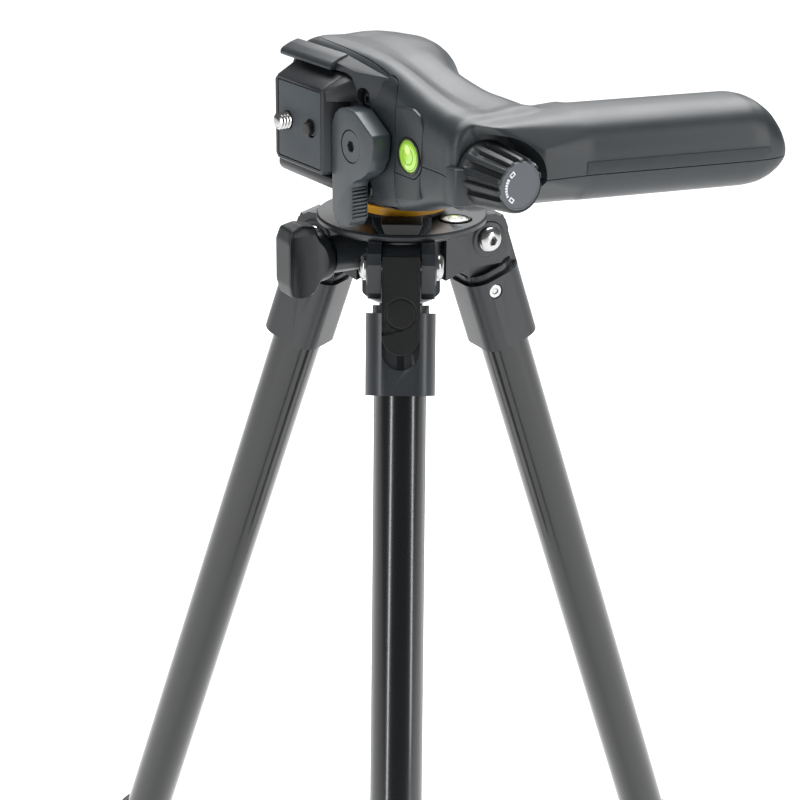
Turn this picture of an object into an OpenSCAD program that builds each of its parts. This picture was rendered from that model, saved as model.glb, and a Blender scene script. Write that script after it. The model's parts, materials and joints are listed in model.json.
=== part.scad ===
/* [Crown] */
// Radius of the crown's top disc
crown_r = 33.5; // [31:0.5:36]
// Distance of each leg hinge from the centre line
hinge_r = 32.2; // [31.5:0.1:34]
// Depth of the hinge pins below the top of the crown
hinge_drop = 12.4; // [12.2:0.1:13]
// Width of the tongue between the ears of a hinge
tongue_w = 14.4; // [13:0.2:15]
// Thickness of one hinge ear
ear_t = 5.1; // [4.5:0.1:5.4]
// Outer radius of the hub around the column
hub_r = 15.5; // [14.5:0.5:16]

/* [Column] */
// Outer radius of the centre column
column_r = 8.75; // [8.25:0.25:9]
// Length of the column tube
column_len = 235; // [180:5:250]

/* [Legs] */
// Tilt of the legs from upright at the first stop
spread = 19; // [15:1:21]
// Outer radius of the upper leg tube
upper_r = 10; // [9.5:0.25:10.25]
// Outer radius of the middle leg tube
middle_r = 8.3; // [8:0.1:8.6]
// Outer radius of the lower leg tube
lower_r = 6.6; // [6.2:0.1:6.9]
// Length of the upper leg tube
upper_len = 320; // [260:10:360]
// Wall of every tube
tube_wall = 1; // [0.8:0.1:1.2]

/* [Head] */
// Height of the ball's centre above the crown
ball_h = 41.3; // [41:0.1:44]
// Radius of the ball
ball_r = 19; // [18:0.5:19.5]
// Turn of the platform away from straight ahead
head_turn = 55; // [0:5:90]
// Half width of the head around the ball
head_half = 28; // [27:0.5:28.5]
// Half width of the handle
grip_half = 16.5; // [16:0.5:17.5]
// Half depth of the handle, from its front to its back
grip_depth = 19; // [18:0.5:20]
// Length of the handle
grip_len = 84; // [76:2:90]
// Lean of the handle away from the platform's normal
grip_lean = 15.3; // [12:0.1:18]
// Side of the square quick plate
plate_side = 32; // [30:1:33]

/* [Hidden] */
$fn = 64;
gap = 0.05;                    // radial clearance of a running fit
loose = 0.3;                   // clearance between pieces that only pass each other
leg_names = ["front", "right", "left"];
leg_turn = [-90, 30, 150];
leg_parts = ["collar", "angle_tab", "collar_screw", "upper_tube", "upper_lock",
             "middle_tube", "lower_lock", "lower_tube", "foot"];

// Leg, measured along it from the hinge pin
bolt_r = 3;                    // M6
collar_bottom = -48.6;
collar_shoulder = -14.6;
collar_w = 26.4;               // across, like the ears
collar_d = 24.6;               // from inside to outside
tab_w = 14;
tab_t = 2;
tab_travel = 5;
lock_len = 30;
upper_top = -18;
upper_end = upper_top - upper_len;
upper_lock_end = upper_end - 14;
middle_top = upper_top - 40;
middle_end = upper_lock_end - 16;
lower_lock_end = middle_end - 12;
lower_top = middle_top - 12;
foot_top = lower_lock_end - 4;
lower_end = foot_top - 12;
foot_r = 9;
foot_centre = foot_top - 18;
foot_cut = 0.7;                // height of the flat worn under each foot
hinge_z = -foot_centre * cos(spread) + foot_r - foot_cut;
crown_z = hinge_z + hinge_drop;

// Crown
disc_t = 3;
ear_y = tongue_w / 2 + 0.4;    // inner face of an ear
stud_r = 3;
knob_drop = 13;
knob_turn = 210;
level_at = [20.6, -10.2];
level_r = 5.8;
bush_r = column_r + 1.8;
hub_bottom = -34;

// Head: x runs towards the handle, -y out of the platform, z across the head
split_z = -4;                  // where the two shells meet
face_y = -36;                  // front face
seam_y = -22;                  // back of the front cover
seam_x = 46.5;                 // end of the front cover
head_end = -21;                // end of the head away from the handle
wall = 2.6;                    // wall of the moulded shells
plate_x = 0.6;                 // middle of the quick plate
plate_y = -47.5;               // top of its pad
seat_y = -38.6;                // floor of its seat
pad_t = 1.2;                   // rubber on the quick plate
screw_r = 3.175;               // 1/4 inch
screw_len = 5.2;
pin_r = 2.4;
pin_neck = 3;
cover_inside = -33;            // bottom of the hollow in the front cover
brake_r = 5.5;                 // plunger that presses on the ball
lever_at = [31, -2.4];
lever_back = face_y - 0.7;
lever_t = 8;
cover_screw_at = [[28.3, 13.2], [28.3, -21]];
flip_r = 29.6;                 // radius that the back of the head keeps within
vial_at = [55.6, -1.8];
vial_r = 6;
knob_at = [-24.5, -3];         // y and z of the tension knob's axis
knob_x = 84.6;
knob_len = 20.5;
grip_at = [85.2, 8.6];
trigger_pin_at = [-13.5, 11];
trigger_half = 7;

module at_crown() { translate([0, 0, crown_z]) children(); }
module at_leg(k) {
    at_crown() rotate([0, 0, leg_turn[k]]) translate([hinge_r, 0, -hinge_drop])
        rotate([0, -spread, 0]) children();
}
module at_head() { at_crown() translate([0, 0, ball_h]) rotate([0, 0, -head_turn]) children(); }
module at_grip() { translate([grip_at[0], grip_at[1], 0]) rotate([0, 0, -grip_lean]) children(); }
module tube(r, top, bottom, inner) {
    translate([0, 0, bottom]) difference() {
        cylinder(r = r, h = top - bottom);
        translate([0, 0, -1]) cylinder(r = inner, h = top - bottom + 2);
    }
}
module hex_socket(size, depth) { cylinder(d = size, h = depth, $fn = 6); }
module round_rect(w, d, r) {
    square([w - 2 * r, d], center = true);
    square([w, d - 2 * r], center = true);
    for (x = [-1, 1]) for (y = [-1, 1])
        translate([x * (w / 2 - r), y * (d / 2 - r)]) circle(r);
}

// ---- crown and column ----
module ear_outline() {
    polygon([[13, -2.5], [35.5, -2.5], [40, -5], [41.6, -9], [41.6, -20], [38.6, -23.2],
             [24, -23.2], [13, -27]]);
}
module crown() {
    color([0.13, 0.14, 0.15]) at_crown() difference() {
        union() {
            rotate_extrude() polygon([[0, 0], [crown_r - 0.7, 0], [crown_r, -0.7],
                [crown_r, -disc_t + 0.9], [crown_r - 3, -disc_t - 1], [hub_r + 3, -disc_t - 2.5],
                [hub_r, -disc_t - 6], [hub_r, hub_bottom + 1.5], [hub_r - 1.5, hub_bottom],
                [0, hub_bottom]]);
            for (t = leg_turn) rotate([0, 0, t]) for (s = [-1, 1]) {
                translate([0, s * (ear_y + ear_t / 2), 0]) rotate([90, 0, 0])
                    linear_extrude(ear_t, center = true) ear_outline();
                translate([hinge_r, s * (ear_y + ear_t), -hinge_drop]) rotate([-90 * s, 0, 0])
                    cylinder(r1 = 7.4, r2 = 6.8, h = 0.6);
            }
            rotate([0, 0, knob_turn]) translate([hub_r - 4, 0, -knob_drop]) rotate([0, 90, 0])
                cylinder(r = 7.2, h = 21);
        }
        translate([0, 0, hub_bottom - 1]) cylinder(r = bush_r, h = 60);
        for (t = leg_turn) rotate([0, 0, t]) {
            translate([hinge_r, 0, -hinge_drop]) rotate([90, 0, 0])
                cylinder(r = bolt_r, h = 60, center = true);
            translate([hinge_r, 0, -hinge_drop]) rotate([90, 0, 0])
                cylinder(r = 9.2, h = 2 * ear_y, center = true);
        }
        rotate([0, 0, knob_turn]) translate([0, 0, -knob_drop]) rotate([0, 90, 0])
            cylinder(r = stud_r + gap, h = 60);
        translate([level_at[0], level_at[1], -2.4]) cylinder(r = level_r + 0.9, h = 10);
    }
}
module hinge_bolts() {
    color([0.72, 0.72, 0.7]) at_crown() for (t = leg_turn)
        rotate([0, 0, t]) translate([hinge_r, 0, -hinge_drop]) for (s = [-1, 1]) {
            rotate([-90 * s, 0, 0]) {
                cylinder(r = bolt_r, h = ear_y + ear_t + 0.6);
                translate([0, 0, ear_y + ear_t + 0.6]) difference() {
                    rotate_extrude() polygon(concat(
                        [[0, 0], [5.2, 0], [5.2, 0.7]],
                        [for (a = [20:10:60]) [1.6 + 3.8 * cos(a), 3 * sin(a)]],
                        [[2, 2.9], [0, 2.9]]));
                    translate([0, 0, 0.9]) hex_socket(4.4, 5);
                }
            }
        }
}
module crown_level_cup() {
    color([0.05, 0.05, 0.05]) at_crown() translate([level_at[0], level_at[1], 0]) difference() {
        translate([0, 0, -2.4]) cylinder(r = level_r + 0.9, h = 2.9);
        translate([0, 0, -1.6]) cylinder(r = level_r, h = 4);
    }
}
module crown_level_vial() {
    color([0.9, 0.93, 0.85]) at_crown() translate([level_at[0], level_at[1], -1.6])
        cylinder(r = level_r, h = 1.9);
}
module index_block() {
    color([0.02, 0.02, 0.02]) at_crown() translate([0, -33, 0]) rotate([90, 0, 0]) mirror([0, 0, 1])
        linear_extrude(11) polygon([[-6.4, 0], [6.4, 0], [8, 4.6], [-8, 4.6]]);
}
module column_bush() {
    color([0.2, 0.2, 0.2]) at_crown() tube(bush_r, -disc_t, hub_bottom + 1, column_r + gap);
}
module column_lock_knob() {
    color([0.16, 0.17, 0.18]) at_crown() rotate([0, 0, knob_turn]) translate([0, 0, -knob_drop])
        rotate([0, 90, 0]) difference() {
            union() {
                translate([0, 0, 33.2]) cylinder(r1 = 8.2, r2 = 9.6, h = 5);
                translate([0, 0, 38.2]) cylinder(r = 9.6, h = 12);
                translate([0, 0, 45.2]) cube([27, 9.5, 14], center = true);
            }
            translate([0, 0, 32]) cylinder(r = stud_r, h = 16);
        }
}
module column_lock_stud() {
    color([0.7, 0.7, 0.7]) at_crown() rotate([0, 0, knob_turn]) translate([0, 0, -knob_drop])
        rotate([0, 90, 0]) translate([0, 0, bush_r + loose]) cylinder(r = stud_r, h = 48 - bush_r - loose);
}
module column_tube() {
    color([0.06, 0.06, 0.07]) at_crown() tube(column_r, loose, -column_len, column_r - tube_wall);
}
module column_plate() {
    color([0.12, 0.12, 0.13]) at_crown() difference() {
        union() {
            translate([0, 0, loose]) cylinder(r = 16, h = 2.7);
            translate([0, 0, -14]) cylinder(r = column_r - tube_wall, h = 14 + loose);
            cylinder(r = 4.7, h = 9.5);
        }
        translate([0, 0, -15]) cylinder(r = 2.2, h = 17);
    }
}
module column_end_cap() {
    color([0.05, 0.05, 0.05]) at_crown() translate([0, 0, -column_len]) {
        cylinder(r = column_r - tube_wall, h = 10);
        rotate_extrude() polygon([[0, 0], [column_r, 0], [column_r, -4], [column_r - 2, -6], [0, -6]]);
    }
}

// ---- pan base and ball ----
module pan_ring() {
    color([0.95, 0.6, 0.05]) at_crown() tube(18.4, 6.4, 3.1, 14);
}
module pan_base() {
    color([0.12, 0.13, 0.14]) at_crown() difference() {
        union() {
            translate([0, 0, 3.1]) cylinder(r = 14, h = 3.4);
            translate([0, 0, 6.4]) cylinder(r1 = 17.4, r2 = 11, h = 4.4);
        }
        translate([0, 0, 2]) cylinder(r = 4.7 + gap, h = 8);
    }
}
module ball_stem() {
    color([0.55, 0.56, 0.57]) at_crown() {
        translate([0, 0, 11]) cylinder(r = 7, h = ball_h - ball_r - 8);
        translate([0, 0, ball_h]) sphere(ball_r);
    }
}

// ---- legs ----
module collar_outline() { round_rect(collar_d, collar_w, 8); }
module collar() {
    color([0.14, 0.15, 0.16]) difference() {
        union() {
            rotate([90, 0, 0]) linear_extrude(tongue_w, center = true) union() {
                circle(8.2);
                polygon([[-8.2, 0], [8.2, 0], [12.3, -9], [12.3, -20], [-11, -20]]);
                polygon([[7, 3.8], [12.3, 1.5], [12.3, -9], [4, -9]]);
            }
            translate([0, 0, collar_bottom]) linear_extrude(collar_shoulder - 3 - collar_bottom)
                collar_outline();
            translate([0, 0, collar_shoulder - 3]) linear_extrude(3)
                round_rect(collar_d - 3, collar_w - 5, 7);
        }
        rotate([90, 0, 0]) cylinder(r = bolt_r + gap, h = 60, center = true);
        translate([0, 0, collar_bottom - 1]) cylinder(r = upper_r, h = upper_top - collar_bottom + 1);
        // channel of the angle tab
        translate([collar_d / 2 - tab_t - 0.4, 0, 0]) rotate([0, 90, 0]) linear_extrude(10) {
            translate([-10, -tab_w / 2 - 0.1]) square([10 + 32, tab_w + 0.2]);
            translate([32, 0]) circle(tab_w / 2 + 0.1);
        }
        // cross screw
        translate([-3.5, 0, -22.5]) rotate([90, 0, 0]) cylinder(r = 1.6, h = 60, center = true);
        for (s = [-1, 1]) translate([-3.5, s * (collar_w / 2 - 1.4), -22.5]) rotate([-90 * s, 0, 0])
            cylinder(r = 3.1, h = 5);
    }
}
module angle_tab() {
    color([0.09, 0.09, 0.1]) difference() {
        translate([collar_d / 2 - tab_t, 0, 0]) rotate([0, 90, 0]) linear_extrude(tab_t) {
            translate([-3.4, -tab_w / 2]) square([3.4 + 32 - tab_travel - 0.4, tab_w]);
            translate([32 - tab_travel - 0.4, 0]) circle(tab_w / 2);
        }
        translate([collar_d / 2 - 0.5, 0, -18]) rotate([0, 90, 0]) difference() {
            cylinder(r = 6, h = 3);
            translate([0, 0, -1]) cylinder(r = 5.3, h = 5);
        }
    }
}
module collar_screw() {
    color([0.75, 0.75, 0.73]) translate([-3.5, 0, -22.5]) difference() {
        union() {
            rotate([90, 0, 0]) cylinder(r = 1.6, h = collar_w - 2.6, center = true);
            for (s = [-1, 1]) translate([0, s * (collar_w / 2 - 1.4), 0]) rotate([-90 * s, 0, 0])
                cylinder(r = 2.8, h = 1.1);
        }
        for (s = [-1, 1]) translate([0, s * (collar_w / 2 - 0.9), 0]) rotate([-90 * s, 0, 0])
            hex_socket(2.6, 5);
    }
}
module upper_tube() {
    color([0.03, 0.035, 0.04]) tube(upper_r, upper_top - 8, upper_end, upper_r - tube_wall);
}
module twist_lock(outer, inner, top, bottom) {
    color([0.1, 0.11, 0.12]) difference() {
        translate([0, 0, bottom]) rotate_extrude() polygon([[inner - 1, 0], [outer - 1.5, 0], [outer, 1.5],
            [outer, top - bottom - 2.5], [outer - 1.2, top - bottom], [inner - 1, top - bottom]]);
        children();
    }
}
module upper_lock() {
    twist_lock(13.2, middle_r, upper_end + lock_len - 14, upper_lock_end) {
        translate([0, 0, upper_end - 0.3]) cylinder(r = upper_r + gap, h = 60);
        translate([0, 0, upper_end - 30]) cylinder(r = middle_r + gap, h = 60);
    }
}
module middle_tube() {
    color([0.05, 0.055, 0.06]) tube(middle_r, middle_top, middle_end, middle_r - tube_wall + 0.2);
}
module lower_lock() {
    twist_lock(11.4, lower_r, upper_lock_end - 2, lower_lock_end) {
        translate([0, 0, middle_end - 0.3]) cylinder(r = middle_r + gap, h = 60);
        translate([0, 0, middle_end - 30]) cylinder(r = lower_r + gap, h = 60);
    }
}
module lower_tube() {
    color([0.05, 0.055, 0.06]) tube(lower_r, lower_top, lower_end, lower_r - tube_wall);
}
module foot() {
    color([0.04, 0.04, 0.04]) difference() {
        union() {
            translate([0, 0, foot_centre]) sphere(foot_r);
            translate([0, 0, foot_centre])
                cylinder(r1 = foot_r, r2 = foot_r - 0.6, h = foot_top - foot_centre);
        }
        translate([0, 0, lower_end]) cylinder(r = lower_r, h = 40);
        translate([0, 0, foot_centre]) rotate([0, spread, 0])
            translate([0, 0, -foot_r + foot_cut - 20]) cube(40, center = true);
    }
}

// ---- head ----
// outline seen across the head, drawn inset by g
module head_side(g) {
    intersection() {
        circle(25 - g);
        translate([-30, seam_y + g]) square(60);
    }
    polygon([[-21 + g, seam_y + g], [-21 + g, 9 - g], [-13, 21 - g], [13, 21 - g], [40, 15 - g],
             [72, 14 - g], [98 - g, 12 - g], [103.5 - g, 3.6],
             [98 - g, -9 + g], [knob_x - 0.8 - g, -12 + g],
             [knob_x - 0.8 - g, -36 + g], [81, face_y + g], [seam_x + 0.2 + g, face_y + g],
             [seam_x + 0.2 + g, seam_y + g]]);
}
// outline seen from the front, drawn inset by g
module head_front(g) {
    h = head_half - g;
    up = [[-30, h - 3], [-18, h], [42, h], [50, h - 2.2], [64, h - 7], [73, h - 9.4], [84, grip_half - g],
          [130, grip_half - g]];
    polygon(concat(up, [for (i = [len(up) - 1:-1:0]) [up[i][0], -up[i][1]]]));
}
module grip_bar(g, from, to) {
    at_grip() translate([0, from, 0]) rotate([-90, 0, 0]) linear_extrude(to - from)
        polygon([for (a = [0:15:345]) [(grip_depth - g) * sign(cos(a)) * pow(abs(cos(a)), 0.8),
                                       (grip_half - g) * sign(sin(a)) * pow(abs(sin(a)), 0.8)]]);
}
module head_solid(g) {
    difference() {
        intersection() {
            linear_extrude(80, center = true) head_side(g);
            rotate([90, 0, 0]) linear_extrude(200, center = true) head_front(g);
        }
        // the lower back corner is rounded, so that it passes over the pan base
        difference() {
            translate([-40, 0, -60]) cube([60, 60, 60]);
            rotate([0, 90, 0]) cylinder(r = flip_r - g, h = 200, center = true);
        }
    }
    grip_bar(g, -6 + g, grip_len - g);
    // hood over the tension knob
    translate([0, 0, 11]) linear_extrude(grip_half - g - 11)
        polygon([[80, -30 + g], [86, -28 + g], [101 - g, -12 + g], [103 - g, 5], [80, 5]]);
}
module ball_room() { sphere(ball_r + loose); }
module trigger_slot() {
    at_grip() translate([-32, 3, -trigger_half - loose]) cube([24, 66, 2 * trigger_half + 2 * loose]);
}
module shell_cuts() {
    ball_room();
    // path of the stem from one side of the head to its back
    translate([-7.6, 0, 0]) rotate([90, 0, 90]) linear_extrude(15.2)
        polygon([[-7.6, -70], [-7.6, 0], [0, 7.6], [70, 7.6], [70, -70]]);
    translate([50, knob_at[0], knob_at[1]]) rotate([0, 90, 0]) cylinder(r = 3 + gap, h = 60);
    translate([vial_at[0], face_y - 1, vial_at[1]]) rotate([-90, 0, 0]) cylinder(r = vial_r + 0.8, h = 7);
    trigger_slot();
    at_grip() translate([trigger_pin_at[0], trigger_pin_at[1], 0]) cylinder(r = 2, h = 30, center = true);
    translate([0, -30, 0]) rotate([-90, 0, 0]) cylinder(r = brake_r + gap, h = 15);
}
module ball_seat() {
    difference() {
        intersection() {
            sphere(24);
            translate([-20, -21, -30]) cube([40, 44, 60]);
        }
        ball_room();
    }
}
module head_shell() {
    difference() {
        union() {
            difference() {
                head_solid(0);
                head_solid(wall);
            }
            intersection() {
                ball_seat();
                head_solid(0.5);
            }
            intersection() {
                head_solid(0.5);
                translate([44, face_y + 0.5, -40]) cube([26, 10, 80]);
            }
            intersection() {
                head_solid(0.5);
                at_grip() translate([trigger_pin_at[0], trigger_pin_at[1], 0]) difference() {
                    cylinder(r = 4.5, h = 60, center = true);
                    cylinder(r = 10, h = 2 * trigger_half + 1, center = true);
                }
            }
        }
        shell_cuts();
    }
}
module upper_shell() {
    color([0.17, 0.18, 0.19]) at_head() intersection() {
        head_shell();
        translate([-50, -60, split_z + 0.02]) cube([200, 200, 60]);
    }
}
module lower_shell() {
    color([0.17, 0.18, 0.19]) at_head() intersection() {
        head_shell();
        translate([-50, -60, split_z - 60.02]) cube([200, 200, 60]);
    }
}
module front_cover() {
    color([0.15, 0.16, 0.17]) at_head() difference() {
        intersection() {
            union() {
                translate([head_end, face_y, -40]) cube([seam_x - head_end, seam_y - face_y - 0.02, 80]);
                translate([-20.5, -43, -40]) cube([38.9, 10, 80]);
            }
            rotate([90, 0, 0]) linear_extrude(200, center = true) head_front(0);
            rotate([90, 0, 90]) linear_extrude(200, center = true)
                polygon([[-43, -22.5], [-36, -26], [-28, -head_half], [0, -head_half],
                         [0, head_half], [-28, head_half], [-36, 26], [-43, 22.5]]);
        }
        // seat of the quick plate
        translate([plate_x - plate_side / 2 - loose, -60, -plate_side / 2 - loose])
            cube([plate_side + 2 * loose, 60 + seat_y, plate_side + 2 * loose]);
        translate([plate_x - 13, -60, -8]) cube([26, 30, 16]);
        translate([lever_at[0], -60, lever_at[1]]) rotate([-90, 0, 0]) cylinder(r = 3, h = 50);
        for (p = cover_screw_at) translate([p[0], face_y - 10, p[1]]) rotate([-90, 0, 0]) {
            cylinder(r = 1.5, h = 40);
            cylinder(r = 3.1, h = 12.5);
        }
        difference() {
            translate([head_end + wall, cover_inside, -25.2])
                cube([seam_x - head_end - 2 * wall, 12, 50.4]);
            for (p = concat([lever_at], cover_screw_at)) translate([p[0], -34, p[1]])
                rotate([-90, 0, 0]) cylinder(r = 5, h = 20);
        }
    }
}
module cover_screws() {
    color([0.1, 0.1, 0.1]) at_head() for (p = cover_screw_at)
        translate([p[0], face_y + 0.4, p[1]]) rotate([-90, 0, 0]) difference() {
            union() {
                cylinder(r = 2.8, h = 2.1);
                cylinder(r = 1.5, h = 13);
            }
            translate([0, 0, -1]) hex_socket(2.6, 2.4);
        }
}
module brake_cup() {
    color([0.6, 0.6, 0.6]) at_head() difference() {
        translate([0, cover_inside, 0]) rotate([-90, 0, 0]) {
            cylinder(r = brake_r, h = 15);
            cylinder(r = 12, h = 3);
        }
        sphere(ball_r + 0.1);
    }
}
module head_level_cup() {
    color([0.12, 0.12, 0.12]) at_head() translate([vial_at[0], face_y, vial_at[1]]) rotate([-90, 0, 0])
        difference() {
            translate([0, 0, -0.4]) cylinder(r = vial_r + 0.8, h = 6);
            translate([0, 0, -1]) cylinder(r = vial_r, h = 5.6);
        }
}
module head_level_vial() {
    color([0.55, 0.85, 0.1]) at_head() translate([vial_at[0], face_y + 0.1, vial_at[1]])
        rotate([-90, 0, 0]) cylinder(r = vial_r, h = 4.5);
}
module at_knob() {
    at_head() translate([knob_x, knob_at[0], knob_at[1]]) rotate([0, 90, 0]) children();
}
module tension_knob() {
    color([0.14, 0.15, 0.16]) at_knob() difference() {
        union() {
            cylinder(r1 = 12.2, r2 = 9.4, h = knob_len);
            for (i = [0:11]) rotate([0, 0, 30 * i]) translate([10.6, 0, knob_len / 2]) rotate([0, -7.8, 0])
                cube([1.6, 1.6, knob_len - 1], center = true);
        }
        translate([0, 0, -1]) cylinder(r = 2.5, h = 12);
        translate([0, 0, knob_len - 1]) cylinder(r = 8.6, h = 5);
    }
}
module tension_dial() {
    color([0.45, 0.46, 0.47]) at_knob() translate([0, 0, knob_len - 1]) cylinder(r = 8.6, h = 1.2);
}
module tension_screw() {
    color([0.7, 0.7, 0.7]) at_knob() {
        translate([0, 0, -22]) cylinder(r = 2.5, h = 33);
        translate([0, 0, -20]) cylinder(r = 3, h = 19);
    }
}
module squeeze_trigger() {
    color([0.13, 0.14, 0.15]) at_head() at_grip() difference() {
        linear_extrude(2 * trigger_half, center = true) polygon([[-12.5, 5.5], [-19, 4.5], [-25, 10],
            [-26.5, 24], [-24, 34], [-26.5, 46], [-24.5, 58], [-19, 64.5], [-14, 65], [-14, 58], [-16, 18]]);
        translate([trigger_pin_at[0], trigger_pin_at[1], 0]) cylinder(r = 2 + gap, h = 30, center = true);
    }
}
module trigger_pin() {
    color([0.7, 0.7, 0.7]) at_head() at_grip() translate([trigger_pin_at[0], trigger_pin_at[1], 0])
        cylinder(r = 2, h = 22, center = true);
}
module clamp_lever() {
    color([0.2, 0.21, 0.22]) at_head() translate([lever_at[0], lever_back, lever_at[1]]) rotate([90, 0, 0])
        difference() {
            linear_extrude(lever_t) polygon(concat(
                [for (a = [-86:7:180]) 12.5 * [cos(a), sin(a)]],
                [[-12.5, -20], [-11.5, -28], [-8, -31.2], [-4, -31.2], [-1, -29], [0.5, -20]]));
            translate([0, 0, -1]) cylinder(r = 3 + gap, h = 20);
            translate([0, 0, lever_t - 2.6]) cylinder(r = 6.2, h = 5);
            for (i = [0:4]) translate([0.4, -18.6 - 2 * i, 3.4]) cube([2, 0.9, lever_t], center = true);
        }
}
module lever_screw() {
    color([0.25, 0.25, 0.26]) at_head() translate([lever_at[0], lever_back, lever_at[1]]) rotate([90, 0, 0])
        difference() {
            union() {
                translate([0, 0, -12]) cylinder(r = 3, h = 12 + lever_t - 2.3);
                translate([0, 0, lever_t - 2.3]) cylinder(r = 6, h = 2.2);
            }
            translate([0, 0, lever_t - 1.2]) hex_socket(4, 4);
        }
}
module quick_plate() {
    color([0.1, 0.1, 0.11]) at_head() difference() {
        translate([plate_x, 0, 0]) rotate([90, 0, 0]) translate([0, 0, -seat_y + 0.05])
            linear_extrude(-plate_y - pad_t + seat_y - 0.05) round_rect(plate_side, plate_side, 2);
        translate([plate_x - 8, -60, 0]) rotate([-90, 0, 0]) cylinder(r = 3.3, h = 40);
        translate([plate_x - 8, seat_y - 3.4, 0]) rotate([-90, 0, 0]) cylinder(r = 6.6, h = 10);
        translate([plate_x + 8, -60, 0]) rotate([-90, 0, 0]) cylinder(r = pin_neck + gap, h = 40);
        translate([plate_x + 8, seat_y - 3.4, 0]) rotate([-90, 0, 0]) cylinder(r = 4.4, h = 10);
    }
}
module plate_pad() {
    color([0.05, 0.05, 0.05]) at_head() difference() {
        translate([plate_x, 0, 0]) rotate([90, 0, 0]) translate([0, 0, -plate_y - pad_t])
            linear_extrude(pad_t) round_rect(plate_side - 2, plate_side - 2, 1.5);
        translate([plate_x - 8, -60, 0]) rotate([-90, 0, 0]) cylinder(r = 3.5, h = 40);
        translate([plate_x + 8, -60, 0]) rotate([-90, 0, 0]) cylinder(r = 3.6, h = 40);
    }
}
module camera_screw() {
    color([0.8, 0.8, 0.78]) at_head() translate([plate_x - 8, 0, 0]) rotate([90, 0, 0]) {
        difference() {
            translate([0, 0, -seat_y + 0.4]) cylinder(r = 6.3, h = 2.6);
            translate([0, 0, -seat_y - 1]) cube([9, 1.4, 4], center = true);
        }
        translate([0, 0, -seat_y + 3]) cylinder(r = 2.5, h = -plate_y + seat_y - 2);
        translate([0, 0, -plate_y]) cylinder(r = screw_r, h = screw_len);
    }
}
module locating_pin() {
    color([0.03, 0.03, 0.03]) at_head() translate([plate_x + 8, 0, 0]) rotate([90, 0, 0]) {
        translate([0, 0, -seat_y + 0.4]) cylinder(r = 4.2, h = 2.6);
        translate([0, 0, -seat_y + 3]) cylinder(r = pin_neck, h = -plate_y + seat_y - 3);
        translate([0, 0, -plate_y]) cylinder(r = pin_r, h = pin_r);
    }
}

crown();
hinge_bolts();
crown_level_cup();
crown_level_vial();
index_block();
column_bush();
column_lock_knob();
column_lock_stud();
column_tube();
column_plate();
column_end_cap();
pan_ring();
pan_base();
ball_stem();
upper_shell();
lower_shell();
front_cover();
cover_screws();
brake_cup();
head_level_cup();
head_level_vial();
tension_knob();
tension_dial();
tension_screw();
squeeze_trigger();
trigger_pin();
clamp_lever();
lever_screw();
quick_plate();
plate_pad();
camera_screw();
locating_pin();
for (k = [0:2]) {
    at_leg(k) collar();
    at_leg(k) angle_tab();
    at_leg(k) collar_screw();
    at_leg(k) upper_tube();
    at_leg(k) upper_lock();
    at_leg(k) middle_tube();
    at_leg(k) lower_lock();
    at_leg(k) lower_tube();
    at_leg(k) foot();
}
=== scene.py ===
import json
import math

import bmesh
import bpy
from mathutils import Matrix, Vector

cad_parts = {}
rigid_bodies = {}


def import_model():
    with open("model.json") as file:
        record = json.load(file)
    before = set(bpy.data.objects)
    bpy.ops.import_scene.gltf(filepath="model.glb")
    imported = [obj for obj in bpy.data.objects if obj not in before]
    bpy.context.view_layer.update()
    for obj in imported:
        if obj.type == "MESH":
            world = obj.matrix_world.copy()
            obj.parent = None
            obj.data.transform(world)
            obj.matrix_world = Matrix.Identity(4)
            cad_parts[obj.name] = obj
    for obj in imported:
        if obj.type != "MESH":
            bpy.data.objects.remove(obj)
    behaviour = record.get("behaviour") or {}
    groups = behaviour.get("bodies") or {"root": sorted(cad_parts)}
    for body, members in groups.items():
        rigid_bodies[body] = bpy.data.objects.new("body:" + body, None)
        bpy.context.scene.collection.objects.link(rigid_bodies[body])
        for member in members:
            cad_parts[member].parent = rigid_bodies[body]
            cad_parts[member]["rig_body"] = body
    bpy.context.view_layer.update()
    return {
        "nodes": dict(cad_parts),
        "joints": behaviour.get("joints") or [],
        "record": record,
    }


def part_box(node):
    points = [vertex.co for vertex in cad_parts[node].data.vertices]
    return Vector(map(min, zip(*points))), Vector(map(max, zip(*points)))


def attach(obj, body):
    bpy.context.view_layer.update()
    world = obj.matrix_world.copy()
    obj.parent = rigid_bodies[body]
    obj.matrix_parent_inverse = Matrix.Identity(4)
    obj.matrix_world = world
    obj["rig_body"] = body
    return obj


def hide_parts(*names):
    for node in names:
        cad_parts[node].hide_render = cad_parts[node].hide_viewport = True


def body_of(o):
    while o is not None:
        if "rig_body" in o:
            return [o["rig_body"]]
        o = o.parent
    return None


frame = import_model()
nodes = frame["nodes"]
joints = {j["name"]: j for j in frame["joints"]}
mm = 0.001


# places, all read from the frame
def axesPlace(origin, x, y, z):
    # a place whose local units are millimetres
    place = Matrix((x, y, z)).transposed().to_4x4()
    return Matrix.Translation(origin) @ place @ Matrix.Scale(mm, 4)


upAxis = Vector((0, 0, 1))
crownTop = Vector((0, 0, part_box("crown")[1].z))
crownPlace = Matrix.Translation(crownTop) @ Matrix.Scale(mm, 4)
leverBelow = 2.4  # the lever's axis is this far below the head's middle
headMiddle = Vector((0, 0, joints["lever_swing"]["pos_m"][2] + leverBelow * mm))
towardsGrip = -Vector(joints["ball_flip"]["axis"]).normalized()
outOfPlate = Vector(joints["lever_swing"]["axis"]).normalized()
headPlace = axesPlace(headMiddle, towardsGrip, -outOfPlate, upAxis)


def knobPlace():
    turn = joints["column_lock_turn"]
    out = Vector(turn["axis"]).normalized()
    start = Vector((0, 0, turn["pos_m"][2]))
    return axesPlace(start, -upAxis, out.cross(-upAxis), out)


camera = {
    "aimDrop": 0.0793, "distance": 0.8413, "tilt": 21.41, "roll": 0.58, "view": 21.81,
}


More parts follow.
